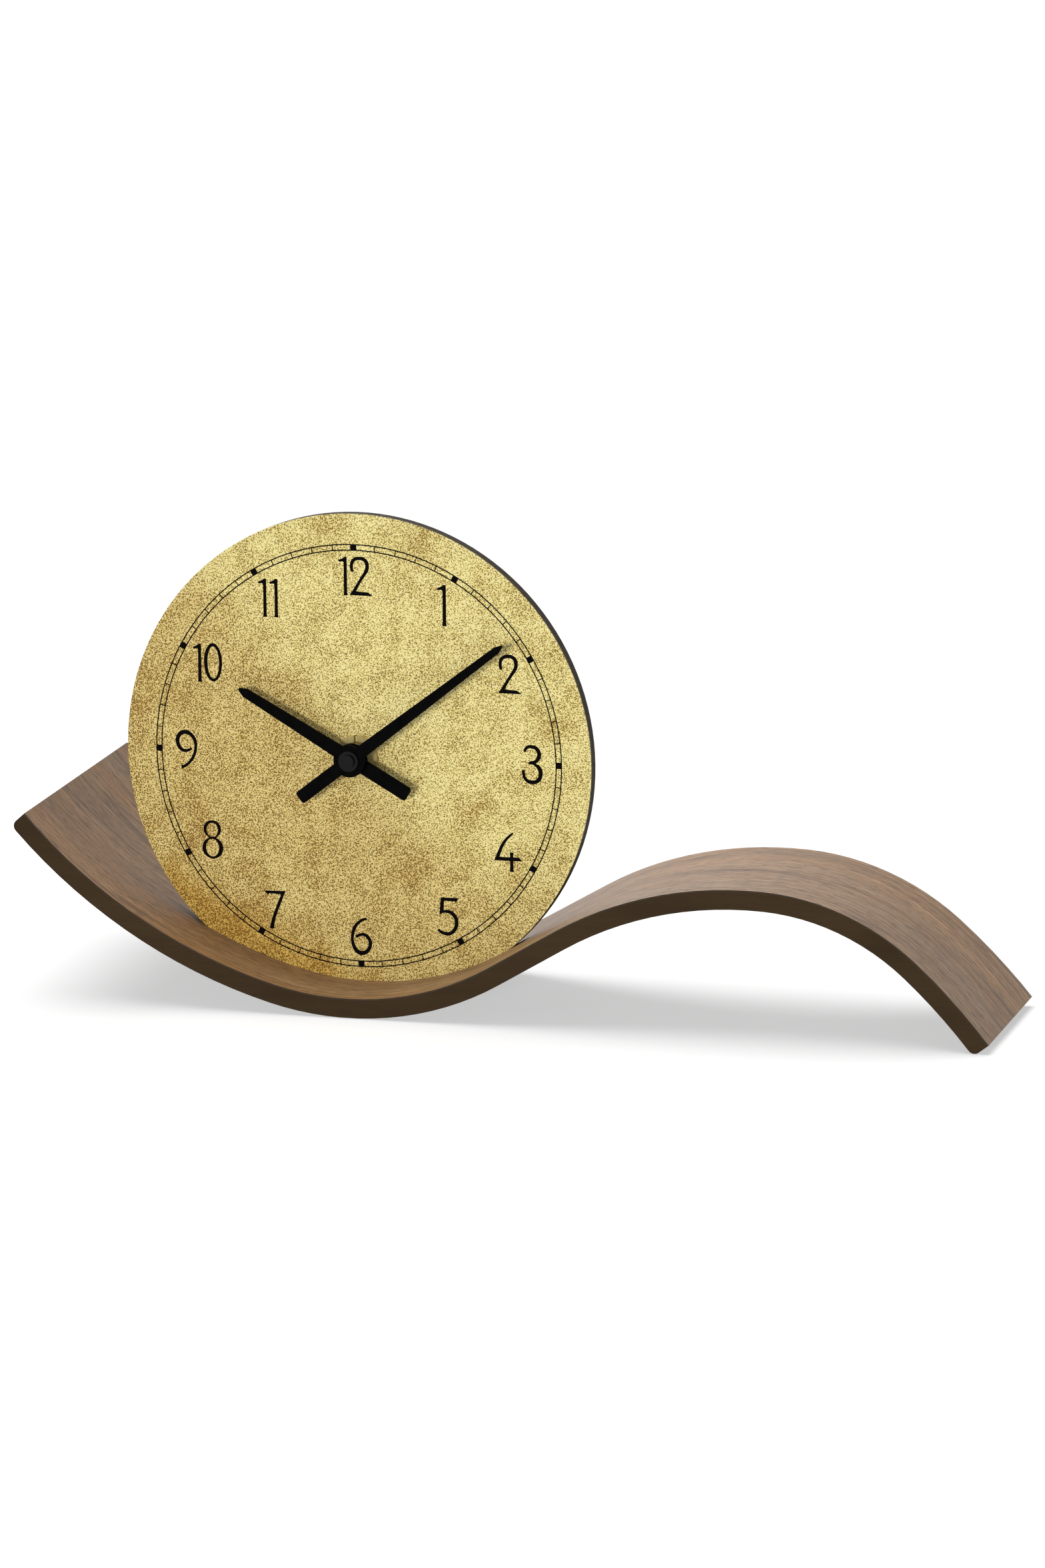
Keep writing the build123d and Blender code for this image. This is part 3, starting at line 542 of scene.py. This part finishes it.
def rust_cover(gold, u, v, haze):
    """How rusty each place of the dial is, in soft patches with ragged rims."""
    rust = 0.0
    for middle_across, middle_up, radius in rust_patches:
        side = gold.math("SUBTRACT", u, middle_across)
        rise = gold.math("SUBTRACT", v, middle_up)
        far = gold.blend((haze, -rust_raggedness * radius), (gold.length(side, rise), 1.0))
        patch = gold.ramp(far, (rust_full * radius, rust_end * radius), (1.0, 0.0))
        rust = gold.math("MAXIMUM", rust, patch)
    return rust


def gold_surface():
    """Antiqued gold print of the dial: fine speckle, cloudy patches, burnt rim, painted sheen."""
    # Colours of the clear gold, of the stain round a dot and of the dot itself: in the duller
    # part of the dial under painted shade, in its brighter part under painted sheen, and at its
    # burnt lower left rim
    clear_tones = (0.715, 0.580, 0.258), (0.840, 0.745, 0.365), (0.640, 0.425, 0.110)
    stain_tones = (0.645, 0.488, 0.143), (0.740, 0.628, 0.192), (0.540, 0.335, 0.065)
    dot_tones = (0.080, 0.032, 0.002), (0.098, 0.045, 0.003), (0.070, 0.028, 0.002)
    patch_dot, rust_tint = (0.095, 0.034, 0.003), (0.38, 0.20, 0.05)
    plate_edge = (0.030, 0.022, 0.013)

    gold = Surface("antique_gold", specular_ior_level=0.12)
    u, _, v = gold.split(gold.dial_place(1))
    cloud = gold.noise(gold.dial_place(30), detail=3.0, roughness=0.55)
    haze = gold.noise(gold.dial_place(13), roughness=0.55)
    jitter = gold.noise(gold.dial_place(0.5), detail=1.0, output="Color")
    grain = gold.noise(gold.dial_place(0.36), detail=1.0)
    fine = gold.dots(gold.wander(gold.dial_place(fine_cell), jitter, fine_push))
    large = gold.dots(gold.wander(gold.dial_place(large_cell), jitter, large_push))

    # The dial is painted brighter towards its upper right, a painted sheen over painted shade,
    # and burnt at its lower left rim, and cloud and haze make both limits ragged
    upper_right = gold.blend(*zip((u, v), sheen_direction), (cloud, 46.0), (haze, 18.0))
    painted_sheen = gold.ramp(upper_right, sheen_span, smooth=True)
    lower_left = gold.blend(*zip((u, v), burnt_direction), (haze, 14.0))
    rim = gold.ramp(lower_left, burnt_span, smooth=True)
    clear, stain, dot = [gold.mix(rim, gold.mix(painted_sheen, dull, sheen_tone), burnt)
                         for dull, sheen_tone, burnt in (clear_tones, stain_tones, dot_tones)]

    # Dots, each one dark where it reaches past the distance to its middle
    patch = gold.ramp(haze, (0.36, 0.68), smooth=True)
    rust = rust_cover(gold, u, v, haze)
    # The dots reach less far in the painted sheen, and further in patches and rust
    more_reach = gold.blend((patch, reach_in_patch), (painted_sheen, reach_in_sheen),
                            (rust, reach_in_rust))
    fine_reach = gold.math("ADD", more_reach, dot_reach)
    large_reach = gold.math("MULTIPLY", fine_reach, large_share)
    fine_near = gold.math("SUBTRACT", fine_reach, fine)
    large_near = gold.math("SUBTRACT", large_reach, large)
    spots = gold.math("MAXIMUM", gold.ramp(fine_near, (-0.05, 0.10)),
                      gold.ramp(large_near, (-0.05, 0.08)))
    spots = gold.math("MULTIPLY_ADD", gold.ramp(grain, (0.32, 0.68)), 0.20,
                      gold.math("MULTIPLY", spots, 0.80), clamp=True)

    dot = gold.mix(gold.math("MULTIPLY", patch, 0.5), dot, patch_dot)
    face = gold.coats(
        clear,
        (gold.ramp(fine_near, (-0.30, 0.0)), stain),
        (spots, dot),
        (gold.blend((patch, 0.10), (rust, 0.14)), rust_tint),
    )
    gold.colour(gold.mix(gold.ramp(gold.facing(), (0.4, 0.7)), plate_edge, face))
    gold.metal(gold.ramp(spots, (0.0, 1.0), (0.12, 0.0)))
    gold.rough(gold.ramp(haze, (0.35, 0.65), (0.38, 0.5)))
    gold.bump(spots, depth=0.01, strength=0.4)
    return gold.material


def nut_surface():
    """Turned brass with fine lathe rings."""
    deep, pale, groove_shade = (0.40, 0.31, 0.11), (0.56, 0.46, 0.19), (0.24, 0.17, 0.05)
    brass = Surface("turned_brass")
    u, _, v = brass.split(brass.dial_place(1))
    rings = brass.wave(brass.length(u, v), lathe_pitch)
    cloud = brass.noise(brass.dial_place(3), detail=3.0)
    # The rings' dark lines are painted shade in the lathe grooves
    brass.colour(brass.coats(
        brass.mix(brass.ramp(cloud, noise_span), deep, pale),
        (brass.ramp(rings, wave_span, (0.0, 0.3)), groove_shade),
    ))
    brass.metal(brass.ramp(cloud, noise_span, (0.3, 0.5)))
    brass.rough(brass.ramp(cloud, noise_span, (0.34, 0.46)))
    brass.bump(rings, depth=0.01, strength=0.5)
    return brass.material


def wound_surface():
    """Enamelled copper wire, wound turn beside turn round the coil's core."""
    deep, pale, crevice_shade = (0.46, 0.17, 0.055), (0.62, 0.26, 0.095), (0.14, 0.04, 0.012)
    wire = Surface("copper", metallic=0.6)
    turns = wire.wave(wire.split(wire.place(1))["X"], wire_pitch)
    cloud = wire.noise(wire.place(2), detail=3.0)
    # The dark lines between the turns are painted shade in the crevices between the wires
    wire.colour(wire.coats(
        wire.mix(wire.ramp(cloud, noise_span), deep, pale),
        (wire.ramp(turns, (-1.0, 0.2), (0.7, 0.0)), crevice_shade),
    ))
    wire.rough(wire.ramp(cloud, noise_span, (0.24, 0.36)))
    wire.bump(turns, depth=0.08, strength=0.8)
    return wire.material


def board_surface():
    """Green solder mask over fine copper lines, with a woven relief of glass cloth."""
    deep, pale, track = (0.018, 0.12, 0.045), (0.026, 0.15, 0.06), (0.06, 0.26, 0.10)
    weave_span = (-2.0, 2.0)
    board = Surface("board")
    x, _, z = board.split(board.place(1))
    weave = board.math("ADD", board.wave(x, cloth_pitch), board.wave(z, cloth_pitch))
    lanes = board.noise(board.place((9, 9, 1.6)), detail=1.0)
    from_track = board.math("ABSOLUTE", board.math("SUBTRACT", lanes, 0.5))
    board.colour(board.coats(
        board.mix(board.ramp(weave, weave_span), deep, pale),
        (board.ramp(from_track, (0.02, 0.035), (0.8, 0.0)), track),
    ))
    board.rough(board.ramp(weave, weave_span, (0.28, 0.40)))
    board.bump(weave, depth=0.02, strength=0.4)
    return board.material


def moulded_surface(name, dark, light, roughness):
    """Fine-grained moulded plastic of the movement's case, rubbed a little glossier in places."""
    case = Surface(name)
    cells = case.dots(case.place(0.45))
    cloud = case.noise(case.place(14), detail=4.0, roughness=0.6)
    case.colour(case.mix(case.ramp(cloud, (0.35, 0.65)), dark, light))
    worn = case.ramp(cloud, (0.4, 0.7),
                     (roughness + moulded_spread, roughness - moulded_spread))
    case.rough(case.blend((worn, 1.0), (cells, 0.08)))
    case.bump(cells, depth=0.05, strength=0.5)
    return case.material


def brushed_surface(name, dark, light, roughness):
    """Rolled metal with fine lines one way and small dull patches."""
    metal = Surface(name, metallic=1.0)
    lines = metal.noise(metal.place((6, 6, 0.12)), roughness=0.6)
    cloud = metal.noise(metal.place(3), detail=4.0, roughness=0.6)
    metal.colour(metal.coats(
        metal.mix(metal.ramp(cloud, noise_span), dark, light),
        (metal.ramp(lines, (0.4, 0.7), (0.0, 0.35)), dark),
    ))
    # Lines and dull patches lie about halfway, so that together they give the roughness
    dull = metal.ramp(cloud, (0.35, 0.65))
    metal.rough(metal.blend((dull, dull_share), (lines, 2 * roughness - dull_share / 2)))
    metal.bump(lines, depth=0.01, strength=0.4)
    return metal.material


def hardboard_surface():
    """Dark stained hardboard, matted fibres with a few paler ones."""
    deep, pale = (0.030, 0.022, 0.014), (0.044, 0.033, 0.022)
    hollow, pale_fibre = (0.016, 0.011, 0.007), (0.090, 0.070, 0.050)
    board = Surface("backing", specular_ior_level=0.08)
    mat = board.noise(board.place(1.6), detail=3.0, roughness=0.65, distortion=1.2)
    cloud = board.noise(board.place(35), detail=3.0, roughness=0.55)
    fibres = board.noise(board.place(0.5), roughness=0.6, distortion=2.0)
    board.colour(board.coats(
        board.mix(board.ramp(cloud, noise_span), deep, pale),
        (board.ramp(mat, (0.45, 0.65), (0.0, 0.55)), hollow),
        (board.ramp(fibres, (0.62, 0.72), (0.0, 0.6)), pale_fibre),
    ))
    board.rough(board.ramp(mat, noise_span, (0.55, 0.72)))
    board.bump(mat, depth=0.06, strength=0.5)
    return board.material


def battery_surface():
    """Printed sleeve of a battery with bare ends and a pale band, no words on it."""
    deep, pale, scuff = (0.020, 0.050, 0.15), (0.030, 0.072, 0.20), (0.12, 0.16, 0.26)
    band, bare_metal = (0.58, 0.40, 0.14), (0.62, 0.61, 0.59)
    cell = Surface("sleeve")
    low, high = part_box("battery")
    x = cell.split(cell.place(1))["X"]
    from_plus = cell.math("SUBTRACT", x, low.x / MM)
    from_minus = cell.math("SUBTRACT", high.x / MM, x)
    past_band = cell.ramp(from_plus, (13.0, 13.2))
    bare = cell.ramp(cell.math("MINIMUM", from_plus, from_minus), (2.0, 2.2), (1.0, 0.0))
    cloud = cell.noise(cell.place(5), detail=4.0)
    scuffs = cell.noise(cell.place((0.3, 4, 4)), roughness=0.6)
    sleeve = cell.coats(
        cell.mix(cell.ramp(cloud, noise_span), deep, pale),
        (cell.ramp(scuffs, (0.60, 0.75), (0.0, 0.4)), scuff),
    )
    sleeve = cell.mix(cell.math("MULTIPLY", past_band, 0.9), band, sleeve)
    cell.colour(cell.mix(bare, sleeve, bare_metal))
    cell.metal(bare)
    cell.rough(cell.ramp(cloud, noise_span, (0.24, 0.36)))
    cell.bump(scuffs, depth=0.01, strength=0.4)
    return cell.material


def plain_surface(name, dark, light, roughness, metallic=0.0, gloss=0.5):
    """A finish that varies softly between two tones, with a fine relief."""
    surface = Surface(name, metallic=metallic, specular_ior_level=gloss)
    cloud = surface.noise(surface.place(plain_size), detail=4.0, roughness=0.6)
    relief = surface.noise(surface.place(plain_relief_size))
    surface.colour(surface.mix(surface.ramp(cloud, noise_span), dark, light))
    surface.rough(surface.ramp(cloud, noise_span,
                               (roughness - plain_spread, roughness + plain_spread)))
    surface.bump(relief, depth=0.02, strength=0.5)
    return surface.material


surfaces = {
    "walnut_veneer": veneer_surface(),
    "band_core": edge_surface(),
    "dial_plate": gold_surface(),
    "dial_backing": hardboard_surface(),
    "round_nut": nut_surface(),
    "rubber_washer": plain_surface("rubber", (0.012, 0.012, 0.012), (0.022, 0.022, 0.022), 0.8),
    "hands": plain_surface("black_enamel", (0.0012, 0.0012, 0.0012), (0.0025, 0.0025, 0.0025),
                           0.40, gloss=0.015),
    "hand_cap": plain_surface("cap", (0.0015, 0.0015, 0.0015), (0.003, 0.003, 0.003), 0.25,
                              gloss=0.15),
    "wheels": plain_surface("acetal", (0.74, 0.72, 0.65), (0.84, 0.82, 0.76), 0.42),
    "setting_knob": moulded_surface("knob", (0.012, 0.012, 0.012), (0.022, 0.022, 0.023), 0.42),
    "rotor_magnet": plain_surface("magnet", (0.08, 0.08, 0.085), (0.14, 0.14, 0.145), 0.5,
                                  metallic=0.8),
    "motor_steel": brushed_surface("steel", (0.42, 0.42, 0.44), (0.56, 0.56, 0.58), 0.38),
    "small_screws": brushed_surface("screws", (0.48, 0.48, 0.5), (0.64, 0.64, 0.66), 0.32),
    "coil_bobbin": plain_surface("bobbin", (0.62, 0.60, 0.52), (0.72, 0.70, 0.62), 0.5),
    "coil_winding": wound_surface(),
    "circuit_board": board_surface(),
    "clock_chip": plain_surface("resin", (0.008, 0.008, 0.009), (0.016, 0.016, 0.017), 0.25),
    "quartz_crystal": brushed_surface("can", (0.55, 0.55, 0.56), (0.68, 0.68, 0.69), 0.22),
    "movement_case": moulded_surface("case", (0.014, 0.014, 0.015), (0.026, 0.026, 0.028), 0.5),
    "battery": battery_surface(),
    "battery_contacts": brushed_surface("nickel", (0.5, 0.49, 0.46), (0.64, 0.63, 0.6), 0.3),
    "print": plain_surface("ink", (0.002, 0.0016, 0.0018), (0.004, 0.003, 0.0035), 0.55,
                           gloss=0.015),
}


def finish_nodes():
    """Give every node of the model its slot's surface."""
    for subpart in frame["record"]["subparts"]:
        node = frame["nodes"][subpart["node"]]
        node.data.materials.clear()
        node.data.materials.append(surfaces[subpart["material_slot"]])


def circle(radius, count):
    """Places round a circle."""
    return [turned((0, radius), 360 / count * number) for number in range(count)]


def strip(near, far):
    """Quads between two lines of places."""
    return [[near[i], far[i], far[i + 1], near[i + 1]] for i in range(len(near) - 1)]


def annulus(inner, outer, count):
    """Quads of a ring between two radii."""
    near, far = circle(inner, count), circle(outer, count)
    return strip(near + near[:1], far + far[:1])


def bar(radius, width, height, angle):
    """Rectangle that stands on a ring, turned to an angle."""
    half = width / 2
    low, high = radius - height / 2, radius + height / 2
    corners = [(-half, low), (-half, high), (half, high), (half, low)]
    return [turned(corner, angle) for corner in corners]


def oval(outside, half_sizes, opening, half_opening):
    """Quads of an oval ring whose opening has its own middle and half sizes."""
    near, far = [], []
    for number in range(oval_segments + 1):
        turn = 2 * math.pi / oval_segments * number
        x, y = math.cos(turn), math.sin(turn)
        far.append((outside[0] + half_sizes[0] * x, outside[1] + half_sizes[1] * y))
        near.append((opening[0] + half_opening[0] * x, opening[1] + half_opening[1] * y))
    return strip(near, far)


def between(a, b, c, d, t):
    """Catmull and Rom's curve through four numbers, at a share t of the way from b to c."""
    bend = 2 * a - 5 * b + 4 * c - d
    twist = 3 * (b - c) + d - a
    return b + t * ((c - a) + t * (bend + t * twist)) / 2


def soft_line(points):
    """Points of a smooth line through given points."""
    first = [2 * a - b for a, b in zip(points[0], points[1])]
    last = [2 * a - b for a, b in zip(points[-1], points[-2])]
    knots = [first, *points, last]
    line = []
    for group in zip(knots, knots[1:], knots[2:], knots[3:]):
        for step in range(stroke_steps):
            line.append([between(*numbers, step / stroke_steps) for numbers in zip(*group)])
    return line + [list(points[-1])]


def stroke(points):
    """Quads of a soft stroke of changing width, with square ends."""
    line = soft_line(points)
    near, far = [], []
    for i, (x, y, width) in enumerate(line):
        ahead, behind = line[min(i + 1, len(line) - 1)], line[max(i - 1, 0)]
        run = Vector((ahead[0] - behind[0], ahead[1] - behind[1])).normalized() * width / 2
        near.append((x - run.y, y + run.x))
        far.append((x + run.y, y - run.x))
    return strip(near, far)


def sign_shapes(sign, place, scale):
    """Outlines of a sign at a place of the dial."""
    parts = signs[sign]
    shapes = list(parts.get("blocks", []))
    for points in parts.get("strokes", []):
        shapes += stroke(points)
    for ring in parts.get("ovals", []):
        shapes += oval(*ring)
    return [[((place[0] + x * scale) * MM, (place[1] + y * scale) * MM) for x, y in shape]
            for shape in shapes]


def counterclockwise(shape):
    """The outline in the order that keeps its inside on the left."""
    area = sum(a[0] * b[1] - b[0] * a[1] for a, b in zip(shape, shape[1:] + shape[:1]))
    return shape if area > 0 else shape[::-1]


def printed(name, shapes):
    """Lay a thin print on the dial, from overlapping outlines melted into one."""
    points, faces = [], []
    for shape in map(counterclockwise, shapes):
        faces.append(list(range(len(points), len(points) + len(shape))))
        points += [Vector(place) for place in shape]
    melted = delaunay_2d_cdt(points, [], faces, keep_inside, same_point)
    places, _, triangles, _, _, sources = melted
    kept = [tri for tri, source in zip(triangles, sources) if source]
    used = sorted({index for tri in kept for index in tri})
    number = {index: i for i, index in enumerate(used)}
    count = len(used)
    vertices = [dial_point(places[i], -print_thickness) for i in used]
    vertices += [dial_point(places[i]) for i in used]
    front = [[number[i] for i in tri] for tri in kept]
    back = [tuple(i + count for i in reversed(tri)) for tri in front]
    rims = {(tri[i], tri[(i + 1) % len(tri)]) for tri in front for i in range(len(tri))}
    walls = [(b, a, a + count, b + count) for a, b in rims if (b, a) not in rims]
    mesh = bpy.data.meshes.new(name)
    mesh.from_pydata(vertices, [], [tuple(tri) for tri in front] + back + walls)
    mesh.materials.append(surfaces["print"])
    piece = bpy.data.objects.new(name, mesh)
    bpy.context.scene.collection.objects.link(piece)
    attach(piece, "clock")


def make_ring():
    """Two thin circles with a mark for each minute and a block for each hour."""
    shapes = []
    for radius in (ring_radius - ring_gap / 2, ring_radius + ring_gap / 2):
        shapes += annulus(radius - ring_line / 2, radius + ring_line / 2, ring_segments)
    for minute in range(minutes):
        shapes.append(bar(ring_radius, minute_mark_width, ring_gap, 360 / minutes * minute))
    for hour in range(hours):
        shapes.append(bar(ring_radius, hour_block_width, hour_block_height, 360 / hours * hour))
    printed("minute_ring", shapes)


def make_numerals():
    """The twelve hour numbers."""
    for hour, placed in numerals.items():
        shapes = []
        for sign, place, scale in placed:
            shapes += sign_shapes(sign, place, scale)
        printed("numeral_" + hour, shapes)


def make_camera():
    """Camera at the photograph's place."""
    data = bpy.data.cameras.new("camera")
    data.lens = camera_lens
    data.sensor_width = camera_sensor
    camera = bpy.data.objects.new("camera", data)
    turn = Matrix((camera_right, camera_up, camera_back)).transposed().to_4x4()
    camera.matrix_world = Matrix.Translation(camera_place) @ turn
    bpy.context.scene.collection.objects.link(camera)
    bpy.context.scene.camera = camera


def make_sun(name, direction, strength, angle, mirrored=True):
    """Even soft light from a wide disc of sky, along a direction."""
    data = bpy.data.lights.new(name, "SUN")
    data.energy = strength
    data.angle = math.radians(angle)
    lamp = bpy.data.objects.new(name, data)
    lamp.rotation_euler = Vector(direction).to_track_quat("-Z", "Y").to_euler()
    lamp.visible_glossy = mirrored
    bpy.context.scene.collection.objects.link(lamp)


def make_world():
    """Soft light all round that the camera, gloss and glass see as white."""
    world = bpy.data.worlds.new("studio")
    bpy.context.scene.world = world
    world.use_nodes = True
    studio = NodeTree(world.node_tree)
    background = studio.tree.nodes["Background"]
    background.inputs["Color"].default_value = white
    strength = studio.ramp(studio.shown(), (0.0, 1.0), (world_light, 1.0))
    studio.link(strength, background.inputs["Strength"])


def make_floor():
    """Wide pale floor that shows white and keeps the clock's shadow."""
    reach = floor_reach
    corners = [(-reach, -reach), (reach, -reach), (reach, reach), (-reach, reach)]
    mesh = bpy.data.meshes.new("floor")
    mesh.from_pydata([(x, y, -floor_drop) for x, y in corners], [], [(0, 1, 2, 3)])
    floor = bpy.data.objects.new("floor", mesh)
    bpy.context.scene.collection.objects.link(floor)
    pale = Surface("floor", roughness=0.9, specular_ior_level=0.0, emission_color=white)
    shown = pale.shown()
    pale.colour(pale.mix(shown, floor_bounce, floor_seen))
    glow = pale.math("MULTIPLY", shown, floor_glow)
    pale.link(glow, pale.shader.inputs["Emission Strength"])
    mesh.materials.append(pale.material)


finish_nodes()
make_ring()
make_numerals()
make_camera()
make_world()
make_floor()
make_sun("key", key_direction, key_strength, key_angle, mirrored=False)
make_sun("top", top_direction, top_strength, top_angle)
make_sun("back", back_direction, back_strength, back_angle)

bpy.context.scene.view_settings.view_transform = "Standard"
